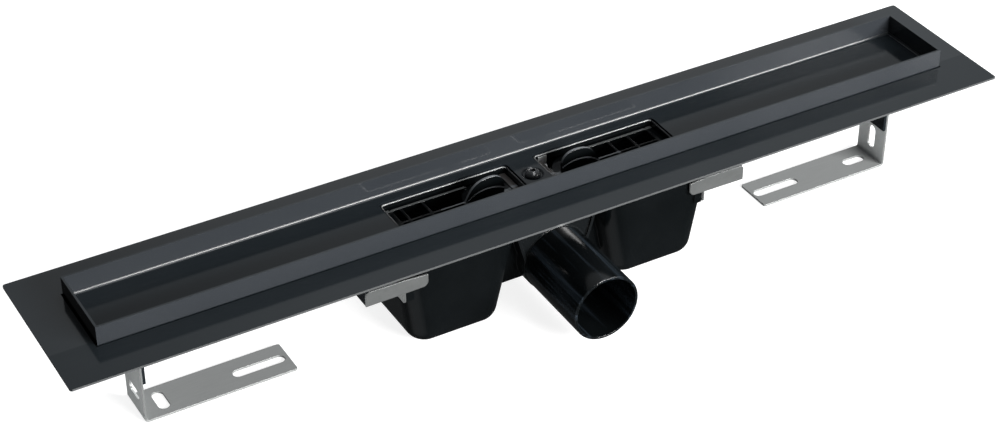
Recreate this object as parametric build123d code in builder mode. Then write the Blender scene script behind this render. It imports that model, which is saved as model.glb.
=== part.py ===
from build123d import *
import os

os.makedirs("parts", exist_ok=True)

# ---------------------------------------------------------------- dimensions
# The part stands on its two feet at z = 0.  X runs along the channel, the
# outlet points to -Y.  Heights below are counted from the collar flange's
# upper face, and Y from the channel's centre line.
CY = 20.0            # channel centre line in the part's frame
ZF = 87.0            # collar flange's upper face above the floor

sheet = 1.5          # stainless sheet of tray, flange and legs

tray_len = 662.0     # channel tray, outside
tray_wid = 60.0
tray_top = 14.1      # rim of the upstand above the flange
floor_top = -1.2     # channel floor
floor_low = floor_top - sheet
fold = 1.6           # inside radius of the tray's folds

flange_len = 720.0   # collar flange
flange_front = 62.5  # centre line to the front edge
flange_back = 59.0   # centre line to the back edge
flange_corner = 2.0
flange_shift = -1.4   # the flange sits this far off the tray's middle

open_len = 100.0     # the two floor openings
open_wid = 41.0
open_x = 60.0        # centre of each from the middle
open_corner = 4.0

leg_out = 301.5      # outer face of each leg's upright
leg_wid = 30.5
leg_foot = 110.3     # length of the foot
leg_top = -8.5
slot_wid = 8.0
bolt_z = -36.0       # height of the leg bolt
bolt_r = 3.0

tab_gap = 0.1        # running gap between leg and hanger tab
tab_t = 2.0
tab_low = -55.2

deck_top = -4.7      # siphon's deck
deck_low = -7.7
cup_low = -85.5      # underside of the two cups
wall = 2.5
pipe_r = 25.0        # outlet, 50 mm outside
pipe_bore = 23.0
pipe_z = -52.2
pipe_end = -99.0
root_r = 24.7        # the pipe's root, seated in the siphon's socket
root_y = -33.0       # shoulder between root and pipe
pad_y = -31.5        # front face of the outlet pad
duct_y = 22.0        # half width of the middle duct
duct_low = -67.3

bell_x = 36.0        # trap bell's axis
bell_r = 17.5
dome_r = 25.0
dome_z = -25.7       # centre of the dome's sphere
rim_z = -6.5         # rim of the trap insert
ribs_right = (70.3, 85.9)
ribs_left = (-79.1, -95.5)
# outline of the handle web that stands on each bell
web = ((23.1, -3.0), (23.4, 0.9), (26.2, 5.4), (31.0, 7.7), (36.0, 8.0),
       (41.6, 7.0), (47.2, 3.6), (51.2, -2.0), (54.2, -8.0))

plate_y = 44.5       # outer face of the end clamps' side plates
plate_t = 1.2


def at(x, y, z):
    """Point in channel coordinates, turned into the part's frame."""
    return (x, CY + y, ZF + z)


def xy(z):
    """Level plane at height z, local axes X and Y."""
    return Plane(origin=(0, CY, ZF + z))


def xz(y):
    """Upright plane across the outlet's direction, normal towards -Y."""
    return Plane(origin=(0, CY + y, ZF), x_dir=(1, 0, 0), z_dir=(0, -1, 0))


def yz(x):
    """Upright plane across the channel, local axes Y and Z, normal +X."""
    return Plane(origin=(x, CY, ZF), x_dir=(0, 1, 0), z_dir=(1, 0, 0))


def block(x0, x1, y0, y1, z0, z1, mode=Mode.ADD):
    """Box between two corners, in channel coordinates."""
    with Locations(at((x0 + x1) / 2, (y0 + y1) / 2, (z0 + z1) / 2)):
        Box(abs(x1 - x0), abs(y1 - y0), abs(z1 - z0), mode=mode)


def finish(builder, name):
    builder.part.label = name
    export_step(builder.part, "parts/" + name + ".step")


# ------------------------------------------------------------- channel tray
# Folded sheet: floor with four upstands, two drain openings and a pressed
# seat for the middle screw.
with BuildPart() as tray_hollow:
    with BuildSketch(xy(floor_top)):
        Rectangle(tray_len - 2 * sheet, tray_wid - 2 * sheet)
    extrude(amount=tray_top - floor_top + 1)
    fillet(tray_hollow.faces().sort_by(Axis.Z)[0].edges(), fold)

with BuildPart() as channel_tray:
    block(-tray_len / 2, tray_len / 2, -tray_wid / 2, tray_wid / 2, floor_low, tray_top)
    fillet(channel_tray.faces().sort_by(Axis.Z)[0].edges(), sheet - 0.3)
    add(tray_hollow.part, mode=Mode.SUBTRACT)
    # pressed seat: cone 1 mm deep with its matching bulge underneath
    with Locations(at(0, 0, floor_low - 0.5)):
        Cone(bottom_radius=7.6, top_radius=9.2, height=1.0)
    with Locations(at(0, 0, floor_top - 0.5)):
        Cone(bottom_radius=6.6, top_radius=8.0, height=1.0, mode=Mode.SUBTRACT)
    with BuildSketch(xy(floor_low - 2)):
        with Locations((-open_x, 0), (open_x, 0)):
            RectangleRounded(open_len, open_wid, open_corner)
        Circle(3.3)
    extrude(amount=8, mode=Mode.SUBTRACT)
finish(channel_tray, "channel_tray")

# ------------------------------------------------------------ collar flange
# Flat sheet welded round the tray, its cut-out's upper edge chamfered.
with BuildPart() as collar_flange:
    with BuildSketch(xy(-sheet)):
        with Locations((flange_shift, (flange_back - flange_front) / 2)):
            RectangleRounded(flange_len, flange_front + flange_back, flange_corner)
        Rectangle(tray_len, tray_wid, mode=Mode.SUBTRACT)
    extrude(amount=sheet)
    rim = [
        e for e in collar_flange.edges()
        if abs(e.center().Z - ZF) < 0.01
        and abs(e.center().X) < tray_len / 2 + 0.01
        and abs(e.center().Y - CY) < tray_wid / 2 + 0.01
    ]
    chamfer(rim, 0.7)
finish(collar_flange, "collar_flange")


# -------------------------------------------------------------- hanger tabs
# Angle welded under the tray floor; its upright carries the leg.
def hanger_tab(side, name):
    face = leg_out - sheet - tab_gap
    with BuildPart() as tab:
        with BuildSketch(xz(15)):
            with BuildLine():
                Polyline(
                    (side * (face - 32), floor_low),
                    (side * face, floor_low),
                    (side * face, tab_low),
                    (side * (face - tab_t), tab_low),
                    (side * (face - tab_t), floor_low - tab_t),
                    (side * (face - 32), floor_low - tab_t),
                    close=True,
                )
            make_face()
        extrude(amount=30)
        outer = tab.edges().filter_by(Axis.Y).group_by(Axis.Z)[-1].sort_by(Axis.X)
        fillet(outer[-1] if side > 0 else outer[0], tab_t + 1.5)
        inner = [
            e
            for e in tab.edges().filter_by(Axis.Y)
            if abs(abs(e.center().X) - (face - tab_t)) < 0.01
            and abs(e.center().Z - (ZF + floor_low - tab_t)) < 0.01
        ]
        fillet(inner, 1.5)
        with BuildSketch(yz(side * (face - 5))):
            with Locations((0, bolt_z)):
                Circle(bolt_r + 0.2)
        extrude(amount=side * 10, mode=Mode.SUBTRACT)
    finish(tab, name)


hanger_tab(-1, "hanger_tab_left")
hanger_tab(1, "hanger_tab_right")


# ------------------------------------------------------------- leg brackets
# Strip bent to an angle: upright with a height slot, foot with anchor slots.
def leg_bracket(side, name, upright_slot, foot_slots):
    inner = leg_out - sheet
    tip = leg_out - leg_foot
    with BuildPart() as leg:
        with BuildSketch(xz(leg_wid / 2)):
            with BuildLine():
                Polyline(
                    (side * leg_out, leg_top),
                    (side * leg_out, -ZF),
                    (side * tip, -ZF),
                    (side * tip, -ZF + sheet),
                    (side * inner, -ZF + sheet),
                    (side * inner, leg_top),
                    close=True,
                )
            make_face()
        extrude(amount=leg_wid)
        outer = [
            e for e in leg.edges().filter_by(Axis.Y)
            if abs(abs(e.center().X) - leg_out) < 0.01 and e.center().Z < 1
        ]
        fillet(outer, sheet + 1.5)
        bend = [
            e for e in leg.edges().filter_by(Axis.Y)
            if abs(abs(e.center().X) - inner) < 0.01 and e.center().Z < sheet + 1
        ]
        fillet(bend, 1.5)
        # square ends with their corners just broken
        tips = [
            e for e in leg.edges().filter_by(Axis.Z)
            if abs(abs(e.center().X) - tip) < 0.01
        ]
        fillet(tips, 1.5)
        tops = [
            e for e in leg.edges().filter_by(Axis.X)
            if abs(e.center().Z - (ZF + leg_top)) < 0.01
        ]
        fillet(tops, 2.5)
        # height slot for the bolt, and the spare slot below it
        with BuildSketch(yz(side * (inner - 5))):
            with Locations((0, -27)):
                SlotOverall(28, 6.6, rotation=90)
            with Locations((0, upright_slot[0])):
                SlotOverall(upright_slot[1], slot_wid, rotation=upright_slot[2])
        extrude(amount=side * 10, mode=Mode.SUBTRACT)
        with BuildSketch(xy(-ZF - 1)):
            for cx, length, turn in foot_slots:
                with Locations((side * cx, 0)):
                    SlotOverall(length, slot_wid, rotation=turn)
        extrude(amount=4, mode=Mode.SUBTRACT)
    finish(leg, name)


leg_bracket(-1, "leg_bracket_left", (-70.0, 18.0, 0), ((284.3, 19.0, 90), (213.1, 38.0, 0)))
leg_bracket(1, "leg_bracket_right", (-68.5, 19.0, 90), ((284.4, 18.0, 0), (212.2, 38.6, 0)))

# ------------------------------------------------------------ leg fasteners
head_in = leg_out + 0.1 + 1.6        # under the bolt's head
nut_out = leg_out - sheet - tab_gap - tab_t
with BuildPart() as leg_bolts:
    for side in (-1, 1):
        with BuildSketch(yz(side * head_in)):
            with Locations((0, bolt_z)):
                RegularPolygon(radius=5.0, side_count=6, major_radius=False)
        extrude(amount=side * 4.0)
    # the heads' corners are turned off to a 30 degree crown
    chamfer(
        [e for e in leg_bolts.edges() if abs(abs(e.center().X) - (head_in + 4.0)) < 0.01],
        0.5,
    )
    for side in (-1, 1):
        with BuildSketch(yz(side * (nut_out - 6.5))):
            with Locations((0, bolt_z)):
                Circle(bolt_r)
        extrude(amount=side * (head_in - nut_out + 6.5))
finish(leg_bolts, "leg_bolts")

with BuildPart() as leg_washers:
    for side in (-1, 1):
        with BuildSketch(yz(side * (leg_out + 0.1))):
            with Locations((0, bolt_z)):
                Circle(9.0)
                Circle(bolt_r + 0.2, mode=Mode.SUBTRACT)
        extrude(amount=side * 1.6)
finish(leg_washers, "leg_washers")

with BuildPart() as leg_nuts:
    for side in (-1, 1):
        with BuildSketch(yz(side * (nut_out - 5.0))):
            with Locations((0, bolt_z)):
                RegularPolygon(radius=5.0, side_count=6, major_radius=False)
                Circle(bolt_r + 0.05, mode=Mode.SUBTRACT)
        extrude(amount=side * 5.0)
finish(leg_nuts, "leg_nuts")

# -------------------------------------------------------------- siphon body
# Cup shapes, outside and inside, each tapered towards a rounded bottom.
cup_mid_top, cup_len_top, cup_wid_top = 77.55, 93.5, 85.2
cup_mid_low, cup_len_low, cup_wid_low = 80.05, 65.7, 77.6
with BuildPart() as cup_outside:
    with BuildSketch(xy(deck_low)):
        with Locations((cup_mid_top, 0)):
            RectangleRounded(cup_len_top, cup_wid_top, 14.9)
    with BuildSketch(xy(cup_low)):
        with Locations((cup_mid_low, 0)):
            RectangleRounded(cup_len_low, cup_wid_low, 14.9)
    loft()
    fillet(cup_outside.faces().sort_by(Axis.Z)[0].edges(), 12.4)

with BuildPart() as cup_inside:
    with BuildSketch(xy(deck_low)):
        with Locations((cup_mid_top, 0)):
            RectangleRounded(cup_len_top - 2 * wall, cup_wid_top - 2 * wall, 12.4)
    with BuildSketch(xy(cup_low + wall)):
        with Locations((cup_mid_low, 0)):
            RectangleRounded(cup_len_low - 2 * wall + 0.6, cup_wid_low - 2 * wall + 0.2, 12.4)
    loft()
    fillet(cup_inside.faces().sort_by(Axis.Z)[0].edges(), 10.0)

with BuildPart() as siphon_body:
    # deck under the tray floor
    with BuildSketch(xy(deck_low)):
        RectangleRounded(250, 86, 13)
    extrude(amount=deck_top - deck_low)
    add(cup_outside.part)
    add(mirror(cup_outside.part, about=Plane.YZ, mode=Mode.PRIVATE))
    # middle duct between the cups
    block(-52, 52, -duct_y, duct_y, duct_low, deck_low)
    # outlet pad with slanted flanks, and the socket round the outlet pipe
    with BuildSketch(xz(-duct_y + 1)):
        with BuildLine():
            Polyline(
                (-36.4, deck_low), (36.4, deck_low), (22.9, -54), (-22.9, -54), close=True
            )
        make_face()
    extrude(amount=-duct_y + 1 - pad_y)
    with BuildSketch(xz(-duct_y + 1)):
        with Locations((0, pipe_z)):
            Circle(pipe_r + 0.5)
    extrude(amount=-duct_y + 1 - pad_y + 1.0)
    # slanted ribs along the pad's flanks
    for side in (-1, 1):
        with BuildSketch(xz(pad_y + 1)):
            with BuildLine():
                Polyline(
                    (side * 36.4, deck_low), (side * 22.9, -54),
                    (side * 20.9, -54), (side * 34.4, deck_low), close=True
                )
            make_face()
        extrude(amount=2.6)
    # corner lugs that the end clamps grip
    for sy in (-1, 1):
        block(-116, -123.1, sy * 28, sy * 43, -37.5, -28)
        block(107.5, 113.0, sy * 35, sy * 43, -38, -28)
    # hollows
    add(cup_inside.part, mode=Mode.SUBTRACT)
    add(mirror(cup_inside.part, about=Plane.YZ, mode=Mode.PRIVATE), mode=Mode.SUBTRACT)
    for side in (-1, 1):
        block(side * 15, side * 60, -19.5, 19.5, duct_low + wall, deck_low, mode=Mode.SUBTRACT)
        # weir window to the middle chamber
        block(side * 12, side * 16, -9, 9, -35, -15, mode=Mode.SUBTRACT)
    block(-13, 13, -19.5, 19.5, duct_low + wall, deck_low, mode=Mode.SUBTRACT)
    # outlet socket and the way into it
    with BuildSketch(xz(-duct_y)):
        with Locations((0, pipe_z)):
            Circle(root_r + 0.05)
    extrude(amount=20, mode=Mode.SUBTRACT)
    block(-12.5, 12.5, -duct_y - 0.5, -19, duct_low + wall, -30, mode=Mode.SUBTRACT)
    # collars that stand up into the tray's openings
    with BuildSketch(xy(deck_top - 0.5)):
        with Locations((-open_x, 0), (open_x, 0)):
            RectangleRounded(99, 40, 3.6)
    extrude(amount=2.7 + 0.5)
    rounded = [
        e for e in siphon_body.edges() if abs(e.center().Z - (ZF - 2.0)) < 0.01
    ]
    fillet(rounded, 0.5)
    with BuildSketch(xy(deck_low - 1)):
        with Locations((-open_x, 0), (open_x, 0)):
            RectangleRounded(96, 37, 2.2)
    extrude(amount=10, mode=Mode.SUBTRACT)
    inner = [
        e for e in siphon_body.edges()
        if abs(e.center().Z - (ZF - 2.0)) < 0.01
        and abs(e.center().Y - CY) < 18.6
        and abs(abs(e.center().X) - open_x) < 48.1
    ]
    fillet(inner, 0.6)
    # screw boss in the middle chamber
    with BuildSketch(xy(-26)):
        Circle(7)
    extrude(amount=26 - 3.7)
    with BuildSketch(xy(-24)):
        Circle(3.3)
    extrude(amount=30, mode=Mode.SUBTRACT)
    with BuildSketch(xy(-13.7)):
        Circle(4.35)
    extrude(amount=20, mode=Mode.SUBTRACT)
finish(siphon_body, "siphon_body")

# ------------------------------------------------------------- outlet pipe
with BuildPart() as outlet_spigot:
    with BuildSketch(xz(-duct_y - 0.05)):
        with Locations((0, pipe_z)):
            Circle(root_r)
            Circle(pipe_bore, mode=Mode.SUBTRACT)
    extrude(amount=-root_y - duct_y - 0.05)
    with BuildSketch(xz(root_y)):
        with Locations((0, pipe_z)):
            Circle(pipe_r)
            Circle(pipe_bore, mode=Mode.SUBTRACT)
    extrude(amount=root_y - pipe_end)
    chamfer(
        outlet_spigot.faces().sort_by(Axis.Y)[0].edges().sort_by(SortBy.RADIUS)[-1], 0.5
    )
finish(outlet_spigot, "outlet_spigot")

# ------------------------------------------------------------------ gasket
with BuildPart() as siphon_gasket:
    with BuildSketch(xy(deck_top)):
        RectangleRounded(236, 52, 5)
        with Locations((-open_x, 0), (open_x, 0)):
            RectangleRounded(open_len, open_wid, open_corner, mode=Mode.SUBTRACT)
        Circle(9.6, mode=Mode.SUBTRACT)
    extrude(amount=floor_low - deck_top)
finish(siphon_gasket, "siphon_gasket")


# ------------------------------------------------------------ trap inserts
# Bell with a domed top and a handle web, joined to a ribbed inlet pocket.
def trap_insert(side, ribs, name):
    with BuildPart() as trap:
        # inlet pocket
        with BuildSketch(xy(-30)):
            with Locations((side * 79, 0)):
                RectangleRounded(50, 34, 3)
            with Locations((side * 56, 0)):
                Rectangle(24, 34)
        extrude(amount=30 + rim_z)
        with BuildSketch(xy(-31)):
            with Locations((side * 78, 0)):
                RectangleRounded(48, 30, 1.5)
            with Locations((side * 55, 0)):
                Rectangle(40, 30)
        extrude(amount=40, mode=Mode.SUBTRACT)
        # cross ribs and middle rail at the pocket's mouth
        for rx in ribs:
            block(rx - 0.9, rx + 0.9, -16, 16, rim_z - 3, rim_z)
        block(side * 46, side * 103, -0.7, 0.7, rim_z - 3, rim_z)
        # bell, its port frame and its three feet
        rise = (dome_r ** 2 - bell_r ** 2) ** 0.5
        with BuildSketch(xy(-58)):
            with Locations((side * bell_x, 0)):
                Circle(bell_r)
        extrude(amount=58 + dome_z + rise)
        block(side * 16, side * 30, -9, 9, -35, -15)
        foot = duct_low + wall
        for ax, ay in ((-1, 0), (0, 1), (0, -1)):
            with Locations(at(side * (bell_x + ax * 16.2), ay * 16.2, foot + 3.5)):
                Box(2.6, 2.6, 7.0)
        # end plates that rest on the siphon at both ends of the opening
        block(side * 12.3, side * 17.2, -17.5, 17.5, rim_z - 2.2, rim_z)
        block(side * 16.0, side * 19.0, -8, 8, -16, rim_z - 1)
        block(side * 103.4, side * 107.7, -17.5, 17.5, rim_z - 2.2, rim_z)
        # dome and the handle web that stands across it
        with BuildSketch(xz(1)):
            with BuildLine():
                Polyline(
                    (side * web[-1][0], web[-1][1]), (side * web[-1][0], -14.5),
                    (side * web[0][0], -14.5), (side * web[0][0], web[0][1]),
                )
                Spline(*[(side * x, z) for x, z in web])
            make_face()
        extrude(amount=2)
        with Locations(at(side * bell_x, 0, dome_z)):
            Sphere(dome_r, arc_size1=45.5)
        # bell's inside
        hollow = dome_r - 2.0
        with BuildSketch(xy(-64)):
            with Locations((side * bell_x, 0)):
                Circle(bell_r - 2)
        extrude(amount=64 + dome_z + (hollow ** 2 - (bell_r - 2) ** 2) ** 0.5, mode=Mode.SUBTRACT)
        with Locations(at(side * bell_x, 0, dome_z)):
            Sphere(hollow, arc_size1=47.0, mode=Mode.SUBTRACT)
        block(side * 15, side * 26, -7, 7, -33, -17, mode=Mode.SUBTRACT)
    finish(trap, name)


trap_insert(-1, ribs_left, "trap_insert_left")
trap_insert(1, ribs_right, "trap_insert_right")

# flat seals between each bell's port and the weir window
with BuildPart() as port_seals:
    for side in (-1, 1):
        block(side * 15, side * 16, -10, 10, -36, -14)
        block(side * 14, side * 17, -7.5, 7.5, -33.5, -16.5, mode=Mode.SUBTRACT)
finish(port_seals, "port_seals")

# ------------------------------------------------------------ middle screw
with BuildPart() as clamp_screw:
    with BuildSketch(xz(0)):
        with BuildLine():
            Line((0, -1.4), (5.6, -1.4))
            Line((5.6, -1.4), (5.6, -0.9))
            ThreePointArc((5.6, -0.9), (3.9, 1.1), (0, 2.0))
            Line((0, 2.0), (0, -1.4))
        make_face()
    revolve(axis=Axis((0, CY, 0), (0, 0, 1)))
    with BuildSketch(xy(-21.5)):
        Circle(bolt_r)
    extrude(amount=20.5)
    with BuildSketch(xy(-0.4)):
        RegularPolygon(radius=2.0, side_count=6, major_radius=False)
    extrude(amount=4, mode=Mode.SUBTRACT)
finish(clamp_screw, "clamp_screw")

with BuildPart() as screw_washer:
    with BuildSketch(xy(floor_top - 1.0)):
        Circle(5.2)
        Circle(bolt_r + 0.2, mode=Mode.SUBTRACT)
    extrude(amount=0.8)
finish(screw_washer, "screw_washer")

with BuildPart() as threaded_insert:
    with BuildSketch(xy(-13.7)):
        Circle(4.3)
        Circle(bolt_r + 0.05, mode=Mode.SUBTRACT)
    extrude(amount=10)
finish(threaded_insert, "threaded_insert")


# -------------------------------------------------------------- end clamps
# Yoke of folded sheet under the tray: top plate, end web and two ears.
ear_y = plate_y - plate_t


def end_clamp(side, outer, name):
    inner = outer - sheet
    with BuildPart() as clamp:
        block(side * 127, side * outer, -27, 27, floor_low - sheet, floor_low)
        block(side * inner, side * outer, -27, 27, -28.8, floor_low)
        block(side * inner, side * outer, -ear_y, ear_y, -28.8, -6)
        for sy in (-1, 1):
            block(side * 129, side * outer, sy * (ear_y - sheet), sy * ear_y, -28.8, -6)
        folds = [
            e for e in clamp.edges().filter_by(Axis.Z)
            if abs(abs(e.center().X) - outer) < 0.01
            and abs(abs(e.center().Y - CY) - ear_y) < 0.01
        ]
        fillet(folds, 1.2)
    finish(clamp, name)


end_clamp(-1, 152.6, "end_clamp_left")
end_clamp(1, 147.0, "end_clamp_right")


# Side plates on the ears, each with a hook bent in under the siphon's lug.
def clamp_plates(side, outline, hook, depth, name):
    with BuildPart() as plates:
        for sy in (-1, 1):
            with BuildSketch(xz(sy * (plate_y - plate_t / 2) + plate_t / 2)):
                with BuildLine():
                    Polyline(*[(side * x, z) for x, z in outline], close=True)
                make_face()
            extrude(amount=plate_t)
        free = outline[2][0]
        low = [
            e for e in plates.edges().filter_by(Axis.Y)
            if abs(abs(e.center().X) - free) < 0.01 and e.center().Z < ZF - 25
        ]
        fillet(low, 4.2)
        high = [
            e for e in plates.edges().filter_by(Axis.Y)
            if abs(abs(e.center().X) - outline[0][0]) < 0.01 and e.center().Z > ZF - 20
        ]
        fillet(high, 3.0)
        for sy in (-1, 1):
            block(
                side * hook, side * (hook + plate_t),
                sy * (plate_y - depth), sy * plate_y, -37.2, -27.5,
            )
        tips = [
            e for e in plates.edges().filter_by(Axis.X)
            if abs(e.center().Z - (ZF - 37.2)) < 0.01
        ]
        fillet(tips, 1.8)
    finish(plates, name)


clamp_plates(
    -1, ((152.6, -17.8), (152.6, -29.1), (106.2, -28.5), (106.2, -19.4), (123.0, -18.2)),
    123.2, 11.5, "clamp_plates_left",
)
clamp_plates(
    1, ((147.0, -17.6), (147.0, -29.3), (102.1, -28.7), (102.1, -18.7), (115.0, -17.4)),
    113.2, 4.4, "clamp_plates_right",
)

# ---------------------------------------------------------- retaining clip
# Bent spring strip pressed on the collar's inner wall behind the right bell.
with BuildPart() as retaining_clip:
    with BuildSketch(yz(15.1)):
        with BuildLine():
            Polyline(
                (18.45, -3.4), (18.0, -3.4), (18.0, -10.6), (16.3, -11.6), (16.3, -12.1),
                (18.2, -11.4), (18.45, -10.9), close=True
            )
        make_face()
    extrude(amount=6.8)
finish(retaining_clip, "retaining_clip")
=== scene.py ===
import math

import bpy
from mathutils import Matrix, Vector

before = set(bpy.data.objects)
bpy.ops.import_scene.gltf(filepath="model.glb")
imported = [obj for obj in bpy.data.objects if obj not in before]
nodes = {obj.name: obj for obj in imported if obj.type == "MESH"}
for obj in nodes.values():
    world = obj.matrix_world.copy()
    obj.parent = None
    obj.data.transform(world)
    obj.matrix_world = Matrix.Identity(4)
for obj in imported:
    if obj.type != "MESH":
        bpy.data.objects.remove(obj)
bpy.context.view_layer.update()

scene = bpy.context.scene
scene.view_settings.view_transform = "Standard"
scene.view_settings.look = "None"


# ------------------------------------------------------------ node helpers
class Tree:
    """A material's node tree, with short calls to add and join nodes."""

    def __init__(self, name):
        self.material = bpy.data.materials.new(name)
        self.material.use_nodes = True
        self.tree = self.material.node_tree
        self.tree.nodes.clear()
        self.out = self.tree.nodes.new("ShaderNodeOutputMaterial")
        self.coords = self.tree.nodes.new("ShaderNodeTexCoord").outputs["Object"]

    def add(self, kind, inputs=None, **settings):
        node = self.tree.nodes.new(kind)
        for key, value in settings.items():
            setattr(node, key, value)
        for key, value in (inputs or {}).items():
            if isinstance(value, bpy.types.NodeSocket):
                self.tree.links.new(value, node.inputs[key])
            else:
                node.inputs[key].default_value = value
        return node

    def noise(self, scale, detail=3.0, rough=0.5, stretch=None, shift=(0, 0, 0)):
        """Noise in the part's own metres; stretch scales each axis first."""
        where = self.coords
        if stretch or any(shift):
            where = self.add(
                "ShaderNodeMapping",
                {"Vector": where, "Scale": stretch or (1, 1, 1), "Location": shift},
            ).outputs[0]
        return self.add(
            "ShaderNodeTexNoise",
            {"Vector": where, "Scale": scale, "Detail": detail, "Roughness": rough},
        ).outputs[0]

    def span(self, value, low, high, to_low, to_high):
        return self.add(
            "ShaderNodeMapRange",
            {0: value, 1: low, 2: high, 3: to_low, 4: to_high},
            clamp=True,
        ).outputs[0]

    def math(self, operation, a, b=0.0):
        return self.add("ShaderNodeMath", {0: a, 1: b}, operation=operation).outputs[0]

    def mix(self, factor, a, b):
        return self.add(
            "ShaderNodeMix", {0: factor, 6: a, 7: b}, data_type="RGBA"
        ).outputs[2]

    def bump(self, height, distance, strength=1.0, normal=None):
        inputs = {"Height": height, "Distance": distance, "Strength": strength}
        if normal is not None:
            inputs["Normal"] = normal
        return self.add("ShaderNodeBump", inputs).outputs[0]

    def edges(self, radius):
        """(rounded normal, 0..1 where the surface is within radius of an edge)."""
        rounded = self.add("ShaderNodeBevel", {"Radius": radius}, samples=6).outputs[0]
        flat = self.add("ShaderNodeNewGeometry").outputs["Normal"]
        along = self.add(
            "ShaderNodeVectorMath", {0: rounded, 1: flat}, operation="DOT_PRODUCT"
        ).outputs["Value"]
        return rounded, self.span(along, 0.99, 0.80, 0.0, 1.0)

    def finish(self, **inputs):
        shader = self.add(
            "ShaderNodeBsdfPrincipled",
            {key.replace("_", " "): value for key, value in inputs.items()},
        )
        self.tree.links.new(shader.outputs[0], self.out.inputs["Surface"])
        return self.material


def rgba(r, g, b):
    return (r, g, b, 1.0)


# --------------------------------------------------------------- materials
def coated_steel(name, tray):
    """Smooth dark blue-grey coating; on the tray the upstands are painted lighter than the level sheet as painted
    light, and are a little rougher.
    """
    t = Tree(name)
    cloud = t.noise(9.0, 3.0, 0.55)
    grain = t.noise(1.0, 4.0, 0.6, stretch=(9.0, 2200.0, 2200.0))
    fine = t.noise(5200.0, 2.0, 0.5)
    specks = t.span(t.noise(1100.0, 2.0, 0.6, shift=(3, 1, 7)), 0.66, 0.80, 0.0, 1.0)
    place = t.add("ShaderNodeSeparateXYZ", {0: t.coords}).outputs
    facing = t.add("ShaderNodeNewGeometry").outputs["Normal"]
    facing = t.add("ShaderNodeSeparateXYZ", {0: facing}).outputs
    rounded, edge = t.edges(0.0004)
    level = t.mix(t.span(cloud, 0.3, 0.7, 0, 1), rgba(0.0042, 0.0060, 0.0074), rgba(0.0060, 0.0078, 0.0092))
    rough = t.math("ADD", t.span(cloud, 0.25, 0.75, 0.09, 0.12), t.span(grain, 0.3, 0.7, -0.01, 0.02))
    if tray:
        high = t.math("GREATER_THAN", place[2], 0.0872)
        upstand = t.math("MULTIPLY", high, t.math("LESS_THAN", facing[2], 0.8))
        # painted light: upstand faces get a lighter copy of the coating colour
        lit_upstand_colour = t.mix(t.span(cloud, 0.3, 0.7, 0, 1), rgba(0.0150, 0.0172, 0.0200), rgba(0.0180, 0.0202, 0.0230))
        colour = t.mix(upstand, level, lit_upstand_colour)
        # concave folds along the floor are softer; painted shade: the left end's outer face is made near black and
        # loses its sheen
        fold = t.math("MULTIPLY", t.math("GREATER_THAN", facing[2], 0.04), t.math("LESS_THAN", facing[2], 0.985))
        fold = t.math("MULTIPLY", fold, t.math("GREATER_THAN", place[2], 0.0855))
        # painted shade on the outer face of the left end
        end = t.math("MULTIPLY", high, t.math("LESS_THAN", facing[0], -0.7))
        end = t.math("MULTIPLY", end, t.math("LESS_THAN", place[0], -0.32))
        rough = t.math("ADD", rough, t.math("MULTIPLY", fold, 0.20))
        rough = t.math("ADD", rough, t.math("MULTIPLY", upstand, 0.02))
        basin = t.math("SUBTRACT", 1.0, high)
        gloss = t.math("SUBTRACT", 0.5, t.math("MULTIPLY", basin, 0.30))
        gloss = t.math("ADD", gloss, t.math("MULTIPLY", fold, 0.10))
        gloss = t.math("SUBTRACT", gloss, t.math("MULTIPLY", end, 0.48))
        colour = t.mix(end, colour, rgba(0.0005, 0.0005, 0.0006))
    else:
        sheared = t.math("LESS_THAN", place[1], -0.0424)
        # slanted faces at the flange's level beside the tray are made near black: partly a joint, partly painted
        # contact shade
        joint = t.math("MULTIPLY", t.math("GREATER_THAN", facing[2], 0.5), t.math("LESS_THAN", facing[2], 0.9))
        joint = t.math("MULTIPLY", joint, t.math("LESS_THAN", place[2], 0.08702))
        joint = t.math("MULTIPLY", joint, t.math("GREATER_THAN", place[2], 0.0861))
        colour = t.mix(sheared, level, rgba(0.046, 0.048, 0.049))
        colour = t.mix(joint, colour, rgba(0.0008, 0.0008, 0.0008))
        rough = t.math("ADD", rough, t.math("MULTIPLY", joint, 0.8))
        # a 1 mm strip of the flange round the tray's foot is made near black: partly a sealed seam, partly painted
        # contact shade
        across = t.math("ABSOLUTE", t.math("SUBTRACT", place[1], 0.020))
        seam = t.math("MULTIPLY", t.math("LESS_THAN", across, 0.0311), t.math("LESS_THAN", t.math("ABSOLUTE", place[0]), 0.3321))
        seam = t.math("MULTIPLY", seam, t.math("GREATER_THAN", place[2], 0.0861))
        joint = t.math("MAXIMUM", joint, seam)
        colour = t.mix(joint, colour, rgba(0.0008, 0.0008, 0.0008))
        front = t.math("LESS_THAN", place[1], -0.005)
        gloss = t.math("SUBTRACT", 0.46, t.math("MULTIPLY", front, 0.16))
        gloss = t.math("MULTIPLY", gloss, t.math("SUBTRACT", 1.0, joint))
    colour = t.mix(t.span(grain, 0.3, 0.7, 0.0, 0.08), colour, rgba(0.024, 0.027, 0.030))
    colour = t.mix(t.math("MULTIPLY", specks, 0.10), colour, rgba(0.05, 0.053, 0.057))
    # edges are mixed lighter: partly rubbed coating, partly a painted highlight
    colour = t.mix(t.math("MULTIPLY", edge, 0.08), colour, rgba(0.05, 0.053, 0.057))
    normal = t.bump(grain, 0.000004, 0.2)
    normal = t.bump(fine, 0.000006, 0.25, normal)
    return t.finish(
        Base_Color=colour, Roughness=rough, Normal=normal, IOR=1.60, Metallic=0.0,
        Specular_IOR_Level=gloss,
    )


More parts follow.
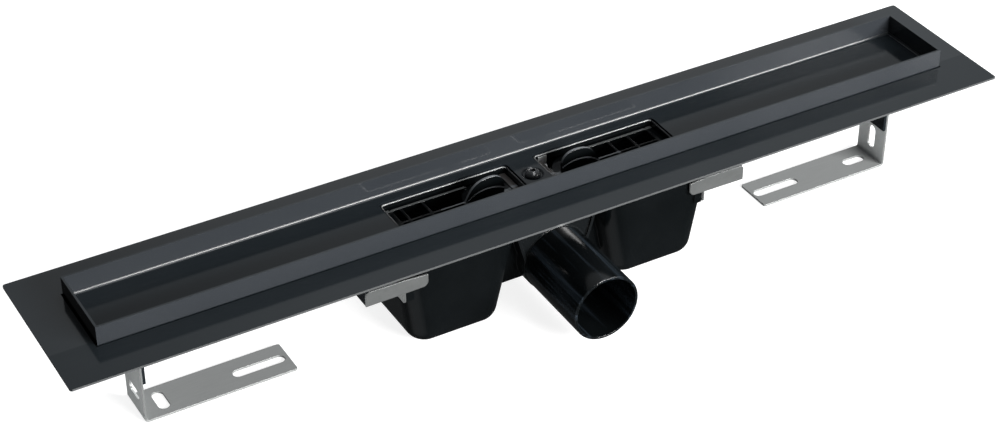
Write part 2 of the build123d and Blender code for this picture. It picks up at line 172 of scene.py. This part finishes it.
def grey_steel(name, dark, light, rough_low, rough_high, metallic, foot=1.0):
    """Satin zinc-grey sheet: rolling grain along X and faint spangle; edges are painted brighter, partly the
    sheet's trimmed edges and partly a painted highlight.
    """
    t = Tree(name)
    spangle = t.add(
        "ShaderNodeTexVoronoi", {"Vector": t.coords, "Scale": 420.0}, feature="F1"
    ).outputs["Color"]
    spangle = t.add("ShaderNodeSeparateColor", {0: spangle}).outputs[0]
    cloud = t.noise(38.0, 4.0, 0.6)
    grain = t.noise(1.0, 5.0, 0.65, stretch=(45.0, 2600.0, 2600.0))
    fine = t.noise(4200.0, 2.0, 0.5)
    rounded, edge = t.edges(0.0005)
    colour = t.mix(t.span(cloud, 0.3, 0.7, 0, 1), dark, light)
    pale = tuple(min(1.0, 1.5 * c) for c in light[:3]) + (1.0,)
    deep = tuple(0.62 * c for c in dark[:3]) + (1.0,)
    colour = t.mix(t.math("MULTIPLY", spangle, 0.14), colour, pale)
    colour = t.mix(t.span(grain, 0.35, 0.75, 0.0, 0.25), colour, deep)
    # edges painted brighter: partly the sheet's trimmed edges, partly a painted highlight
    colour = t.mix(t.math("MULTIPLY", edge, 0.4), colour, pale)
    facing = t.add("ShaderNodeNewGeometry").outputs["Normal"]
    facing = t.add("ShaderNodeSeparateXYZ", {0: facing}).outputs
    if foot == 1.0:
        # painted light: faces turned to -X, such as the inner faces of the bent hooks, are painted much lighter
        lit_side_faces = t.math("LESS_THAN", facing[0], -0.7)
        colour = t.mix(lit_side_faces, colour, rgba(0.36, 0.37, 0.37))
    if foot < 1.0:
        # painted shade: the level foot is painted darker than the upright, and faces turned to -Y are painted
        # darker too
        shaded_front_faces = t.math("LESS_THAN", facing[1], -0.5)
        colour = t.mix(shaded_front_faces, colour, rgba(0.10, 0.105, 0.105))
        height = t.add("ShaderNodeSeparateXYZ", {0: t.coords}).outputs[2]
        shaded_foot = t.span(height, 0.0016, 0.0030, 1.0, 0.0)
        shaded_foot_colour = t.mix(0.5, tuple(foot * 2 * c for c in light[:3]) + (1.0,), rgba(0.0, 0.0, 0.0))
        colour = t.mix(shaded_foot, colour, t.mix(t.span(grain, 0.3, 0.7, 0.0, 0.3), shaded_foot_colour, tuple(0.7 * foot * c for c in dark[:3]) + (1.0,)))
    rough = t.math("ADD", t.span(cloud, 0.2, 0.8, rough_low, rough_high), t.span(grain, 0.3, 0.7, -0.03, 0.05))
    normal = t.bump(grain, 0.000015, 0.4, rounded)
    normal = t.bump(fine, 0.00001, 0.35, normal)
    return t.finish(Base_Color=colour, Roughness=rough, Normal=normal, Metallic=metallic, IOR=1.6)


def moulded_plastic(name, kind):
    """Glossy black moulded plastic with flow waves and fine scratches; edges and some fillets get painted
    highlights.
    """
    t = Tree(name)
    flow = t.noise(26.0, 3.0, 0.5)
    wave = t.noise(95.0, 2.0, 0.5, shift=(2, 5, 1))
    fine = t.noise(3800.0, 2.0, 0.5)
    scratch = t.noise(1.0, 3.0, 0.7, stretch=(900.0, 70.0, 900.0))
    place = t.add("ShaderNodeSeparateXYZ", {0: t.coords}).outputs
    aside = t.math("ABSOLUTE", place[0])
    rounded, edge = t.edges(0.0006)
    colour = t.mix(t.span(flow, 0.3, 0.7, 0, 1), rgba(0.0012, 0.0016, 0.0018), rgba(0.0020, 0.0025, 0.0028))
    rough = t.math("ADD", t.span(flow, 0.3, 0.7, 0.10, 0.16), t.span(scratch, 0.55, 0.75, 0.0, 0.06))
    # painted highlight colour mixed onto edges
    edge_shine_highlight = rgba(0.014, 0.016, 0.017)
    gloss = 0.5
    if kind == "siphon":
        # the outlet's pad and the collars in the tray are left duller
        pad = t.math("MULTIPLY", t.math("LESS_THAN", aside, 0.038), t.math("GREATER_THAN", place[1], -0.0145))
        pad = t.math("MULTIPLY", pad, t.math("LESS_THAN", place[1], -0.0095))
        pad = t.math("MULTIPLY", pad, t.math("GREATER_THAN", place[2], 0.030))
        colour = t.mix(pad, colour, rgba(0.0030, 0.0036, 0.0040))
        rough = t.math("ADD", rough, t.math("MULTIPLY", pad, 0.08))
        lip = t.math("GREATER_THAN", place[2], 0.0838)
        colour = t.mix(lip, colour, rgba(0.005, 0.0055, 0.006))
        rough = t.math("ADD", rough, t.math("MULTIPLY", lip, 0.10))
        facing = t.add("ShaderNodeNewGeometry").outputs["Normal"]
        facing = t.add("ShaderNodeSeparateXYZ", {0: facing}).outputs
        # painted highlight along the top of the back collars in the tray
        rim_highlight = t.math("MULTIPLY", t.math("GREATER_THAN", place[2], 0.08425), t.math("GREATER_THAN", facing[2], 0.15))
        rim_highlight = t.math("MULTIPLY", rim_highlight, t.math("LESS_THAN", facing[1], -0.10))
        rim_highlight = t.math("MULTIPLY", rim_highlight, t.math("GREATER_THAN", place[1], 0.036))
        colour = t.mix(rim_highlight, colour, rgba(0.13, 0.135, 0.135))
        colour = t.mix(t.math("MULTIPLY", edge, 0.45), colour, t.mix(lip, edge_shine_highlight, rgba(0.005, 0.0055, 0.006)))
    if kind == "pipe":
        # painted reflection: long lighter bands along the pipe
        reflection_streak = t.noise(1.0, 3.0, 0.55, stretch=(190.0, 7.0, 190.0), shift=(4, 2, 9))
        reflection_streak = t.span(reflection_streak, 0.50, 0.68, 0.0, 1.0)
        colour = t.mix(reflection_streak, colour, rgba(0.012, 0.0165, 0.0215))
        rough = t.math("ADD", rough, t.math("MULTIPLY", reflection_streak, 0.10))
    if kind == "insert":
        facing = t.add("ShaderNodeNewGeometry").outputs["Normal"]
        facing = t.add("ShaderNodeSeparateXYZ", {0: facing}).outputs
        across = t.math("SUBTRACT", place[1], 0.020)
        flat = t.math("GREATER_THAN", facing[2], 0.9)
        crown = t.math("GREATER_THAN", place[2], 0.0788)
        # resting plates beside the middle screw are coloured a lighter brown-grey
        ends = t.math("MULTIPLY", t.math("LESS_THAN", aside, 0.0175), flat)
        colour = t.mix(ends, colour, rgba(0.034, 0.031, 0.030))
        # painted highlight along the back edge of the inlet pocket
        rim_highlight = t.math("MULTIPLY", t.math("GREATER_THAN", across, 0.0145), t.math("GREATER_THAN", facing[2], 0.3))
        rim_highlight = t.math("MULTIPLY", rim_highlight, t.math("MULTIPLY", crown, t.math("GREATER_THAN", aside, 0.045)))
        colour = t.mix(rim_highlight, colour, rgba(0.055, 0.058, 0.058))
        ribs = t.math("MULTIPLY", t.math("MULTIPLY", flat, crown), t.math("GREATER_THAN", aside, 0.045))
        gloss = t.math("SUBTRACT", 0.5, t.math("MULTIPLY", ribs, 0.42))
        # painted highlights along the handle's upper edge and where the handle stands on the dome
        handle_highlight = t.math("MULTIPLY", t.math("LESS_THAN", t.math("ABSOLUTE", across), 0.0012), t.math("LESS_THAN", aside, 0.072))
        handle_highlight = t.math("MULTIPLY", handle_highlight, t.math("GREATER_THAN", facing[2], 0.2))
        handle_highlight = t.math("MULTIPLY", handle_highlight, t.math("GREATER_THAN", place[2], 0.0735))
        colour = t.mix(handle_highlight, colour, rgba(0.075, 0.08, 0.085))
        offset = t.add("ShaderNodeCombineXYZ", {
            0: t.math("SUBTRACT", aside, 0.036), 1: across, 2: t.math("SUBTRACT", place[2], 0.0613),
        }).outputs[0]
        reach = t.add("ShaderNodeVectorMath", {0: offset}, operation="LENGTH").outputs["Value"]
        dome_join_highlight = t.math("LESS_THAN", t.math("ABSOLUTE", t.math("SUBTRACT", reach, 0.0253)), 0.0006)
        dome_join_highlight = t.math("MULTIPLY", dome_join_highlight, t.math("LESS_THAN", t.math("ABSOLUTE", across), 0.0024))
        dome_join_highlight = t.math("MULTIPLY", dome_join_highlight, t.math("LESS_THAN", facing[1], -0.01))
        colour = t.mix(dome_join_highlight, colour, rgba(0.085, 0.09, 0.095))
        edge_shine_highlight = rgba(0.016, 0.018, 0.020)
    if kind != "siphon":
        # painted highlight on edges
        colour = t.mix(t.math("MULTIPLY", edge, 0.45), colour, edge_shine_highlight)
    normal = t.bump(wave, 0.00005, 0.35, rounded)
    normal = t.bump(fine, 0.000004, 0.3, normal)
    return t.finish(Base_Color=colour, Roughness=rough, Normal=normal, IOR=1.40, Specular_IOR_Level=gloss)


def rubber():
    """Matt black seal rubber with a dusty bloom."""
    t = Tree("seal_rubber")
    bloom = t.noise(160.0, 4.0, 0.6)
    fine = t.noise(2600.0, 3.0, 0.6)
    colour = t.mix(t.span(bloom, 0.35, 0.7, 0, 1), rgba(0.012, 0.012, 0.012), rgba(0.030, 0.030, 0.029))
    rough = t.span(bloom, 0.3, 0.7, 0.62, 0.8)
    return t.finish(Base_Color=colour, Roughness=rough, Normal=t.bump(fine, 0.00003, 0.5))


def brass():
    """Turned brass: rings from the tool and a slight tarnish."""
    t = Tree("turned_brass")
    rings = t.noise(1.0, 3.0, 0.5, stretch=(150.0, 150.0, 5200.0))
    tarnish = t.noise(300.0, 4.0, 0.6)
    colour = t.mix(t.span(tarnish, 0.35, 0.75, 0, 1), rgba(0.72, 0.50, 0.20), rgba(0.42, 0.27, 0.10))
    rough = t.span(tarnish, 0.3, 0.7, 0.25, 0.42)
    return t.finish(Base_Color=colour, Roughness=rough, Normal=t.bump(rings, 0.00002, 0.5), Metallic=1.0)


def black_screw():
    """Black zinc on the screw's domed head; its edges are painted lighter as a highlight."""
    t = Tree("black_screw")
    cloud = t.noise(520.0, 3.0, 0.6)
    fine = t.noise(5200.0, 2.0, 0.5)
    rounded, edge = t.edges(0.0004)
    colour = t.mix(t.span(cloud, 0.3, 0.7, 0, 1), rgba(0.008, 0.009, 0.010), rgba(0.018, 0.019, 0.021))
    # painted highlight on the edges
    colour = t.mix(t.math("MULTIPLY", edge, 0.5), colour, rgba(0.06, 0.062, 0.066))
    rough = t.span(cloud, 0.3, 0.7, 0.2, 0.32)
    normal = t.bump(fine, 0.000008, 0.4, rounded)
    return t.finish(Base_Color=colour, Roughness=rough, Normal=normal, IOR=1.6)


TRAY = coated_steel("coated_tray", True)
COATED = coated_steel("coated_sheet", False)
SHEET = grey_steel("grey_steel", rgba(0.42, 0.44, 0.44), rgba(0.52, 0.54, 0.54), 0.40, 0.50, 0.20, 0.36)
# painted shade: the clamp plates get a far darker copy of the legs' grey steel
PLATE = grey_steel("plate_steel_painted_shade", rgba(0.048, 0.051, 0.051), rgba(0.060, 0.063, 0.063), 0.34, 0.42, 0.20)
FASTENER = grey_steel("fastener_steel", rgba(0.20, 0.20, 0.20), rgba(0.28, 0.28, 0.27), 0.25, 0.36, 0.7)
BRIGHT = grey_steel("bright_spring_steel", rgba(0.16, 0.165, 0.165), rgba(0.26, 0.265, 0.265), 0.25, 0.35, 0.4)
PLASTIC = moulded_plastic("siphon_plastic", "siphon")
PIPE = moulded_plastic("pipe_plastic", "pipe")
INSERT = moulded_plastic("insert_plastic", "insert")
RUBBER = rubber()
BRASS = brass()
SCREW = black_screw()

looks = {
    "channel_tray": TRAY, "collar_flange": COATED,
    "hanger_tab_left": COATED, "hanger_tab_right": COATED,
    "leg_bracket_left": SHEET, "leg_bracket_right": SHEET,
    "end_clamp_left": COATED, "end_clamp_right": COATED,
    "clamp_plates_left": PLATE, "clamp_plates_right": PLATE,
    "leg_bolts": FASTENER, "leg_washers": FASTENER, "leg_nuts": FASTENER,
    "retaining_clip": BRIGHT,
    "siphon_body": PLASTIC, "outlet_spigot": PIPE,
    "trap_insert_left": INSERT, "trap_insert_right": INSERT,
    "siphon_gasket": RUBBER, "port_seals": RUBBER, "screw_washer": RUBBER,
    "threaded_insert": BRASS, "clamp_screw": SCREW,
}
for name, look in looks.items():
    if name in nodes:
        for place in nodes[name].material_slots:
            place.material = look

# ------------------------------------------------------------------- floor
def floor_look():
    t = Tree("pale_floor")
    cloud = t.noise(1.5, 3.0, 0.5)
    fine = t.noise(700.0, 2.0, 0.5)
    colour = t.mix(t.span(cloud, 0.3, 0.7, 0, 1), rgba(0.28, 0.28, 0.28), rgba(0.30, 0.30, 0.30))
    return t.finish(
        Base_Color=colour, Roughness=0.9, Normal=t.bump(fine, 0.00002, 0.2),
        Emission_Color=rgba(1, 1, 1), Emission_Strength=0.86,
    )


mesh = bpy.data.meshes.new("floor")
size = 9.0
mesh.from_pydata(
    [(-size, -size, 0), (size, -size, 0), (size, size, 0), (-size, size, 0)], [], [(0, 1, 2, 3)]
)
floor = bpy.data.objects.new("floor", mesh)
scene.collection.objects.link(floor)
floor.location.z = -0.0002
mesh.materials.append(floor_look())
floor.visible_glossy = False


# ---------------------------------------------------------- light and world
def area(name, place, target, width, height, radiance, colour=(1, 1, 1)):
    data = bpy.data.lights.new(name, "AREA")
    data.shape = "RECTANGLE"
    data.size, data.size_y = width, height
    data.energy = radiance * math.pi * width * height
    data.color = colour
    lamp = bpy.data.objects.new(name, data)
    scene.collection.objects.link(lamp)
    lamp.location = place
    lamp.rotation_mode = "QUATERNION"
    lamp.rotation_quaternion = (Vector(target) - Vector(place)).to_track_quat("-Z", "Y")
    return lamp


area("front_box", (1.3, -2.6, 1.22), (0.0, 0.0, 0.05), 2.4, 0.5, 118.0, (1.0, 0.99, 0.98))
area("top_box", (0.5, -0.2, 2.2), (0.0, 0.0, 0.05), 3.0, 0.4, 9.0, (0.97, 0.98, 1.0))

world = bpy.data.worlds.new("studio")
scene.world = world
world.use_nodes = True
wt = world.node_tree
wt.nodes.clear()
w_out = wt.nodes.new("ShaderNodeOutputWorld")
w_back = wt.nodes.new("ShaderNodeBackground")
w_coord = wt.nodes.new("ShaderNodeTexCoord")
w_dot = wt.nodes.new("ShaderNodeVectorMath")
w_dot.operation = "DOT_PRODUCT"
w_dot.inputs[1].default_value = (0.45, 0.60, 0.66)
w_range = wt.nodes.new("ShaderNodeMapRange")
w_range.interpolation_type = "SMOOTHSTEP"
for index, value in ((1, 0.10), (2, 1.0), (3, 0.05), (4, 0.40)):
    w_range.inputs[index].default_value = value
wt.links.new(w_coord.outputs["Generated"], w_dot.inputs[0])
wt.links.new(w_dot.outputs["Value"], w_range.inputs[0])
w_low = wt.nodes.new("ShaderNodeVectorMath")
w_low.operation = "DOT_PRODUCT"
w_low.inputs[1].default_value = (-0.706, -0.41, -0.579)
w_glow = wt.nodes.new("ShaderNodeMapRange")
w_glow.interpolation_type = "SMOOTHSTEP"
for index, value in ((1, 0.72), (2, 0.98), (3, 0.0), (4, 0.30)):
    w_glow.inputs[index].default_value = value
w_far = wt.nodes.new("ShaderNodeVectorMath")
w_far.operation = "DOT_PRODUCT"
w_far.inputs[1].default_value = (0.456, 0.715, 0.530)
w_band = wt.nodes.new("ShaderNodeMapRange")
w_band.interpolation_type = "SMOOTHSTEP"
for index, value in ((1, 0.968), (2, 1.0), (3, 0.0), (4, 0.24)):
    w_band.inputs[index].default_value = value
wt.links.new(w_coord.outputs["Generated"], w_far.inputs[0])
wt.links.new(w_far.outputs["Value"], w_band.inputs[0])
w_sum = wt.nodes.new("ShaderNodeMath")
w_sum.operation = "ADD"
w_all = wt.nodes.new("ShaderNodeMath")
w_all.operation = "ADD"
wt.links.new(w_coord.outputs["Generated"], w_low.inputs[0])
wt.links.new(w_low.outputs["Value"], w_glow.inputs[0])
wt.links.new(w_range.outputs[0], w_sum.inputs[0])
wt.links.new(w_glow.outputs[0], w_sum.inputs[1])
wt.links.new(w_sum.outputs[0], w_all.inputs[0])
wt.links.new(w_band.outputs[0], w_all.inputs[1])
wt.links.new(w_all.outputs[0], w_back.inputs["Strength"])
w_back.inputs["Color"].default_value = (0.93, 0.97, 1.0, 1.0)
wt.links.new(w_back.outputs[0], w_out.inputs["Surface"])

# ------------------------------------------------------------------ camera
WIDTH, HEIGHT = 1000, 427
FOCAL, CX, CY = 2251.43, 506.59, 214.60
azimuth, elevation, roll = math.radians(-29.989), math.radians(35.393), math.radians(0.083)
ahead = Vector((
    -math.sin(azimuth) * math.cos(elevation), math.cos(azimuth) * math.cos(elevation), -math.sin(elevation)
))
right = Vector((math.cos(azimuth), math.sin(azimuth), 0.0))
up = right.cross(ahead)
x_axis = right * math.cos(roll) + up * math.sin(roll)
y_axis = up * math.cos(roll) - right * math.sin(roll)
camera_data = bpy.data.cameras.new("camera")
camera = bpy.data.objects.new("camera", camera_data)
scene.collection.objects.link(camera)
turn = Matrix((x_axis, y_axis, -ahead)).transposed()
camera.matrix_world = Matrix.Translation((-0.65683, -1.08221, 0.96263)) @ turn.to_4x4()
camera_data.sensor_width = 36.0
camera_data.lens = FOCAL * 36.0 / WIDTH
camera_data.shift_x = (WIDTH / 2 - CX) / WIDTH
camera_data.shift_y = (CY - HEIGHT / 2) / WIDTH
camera_data.clip_start, camera_data.clip_end = 0.05, 60.0
camera_data.dof.use_dof = False
scene.camera = camera
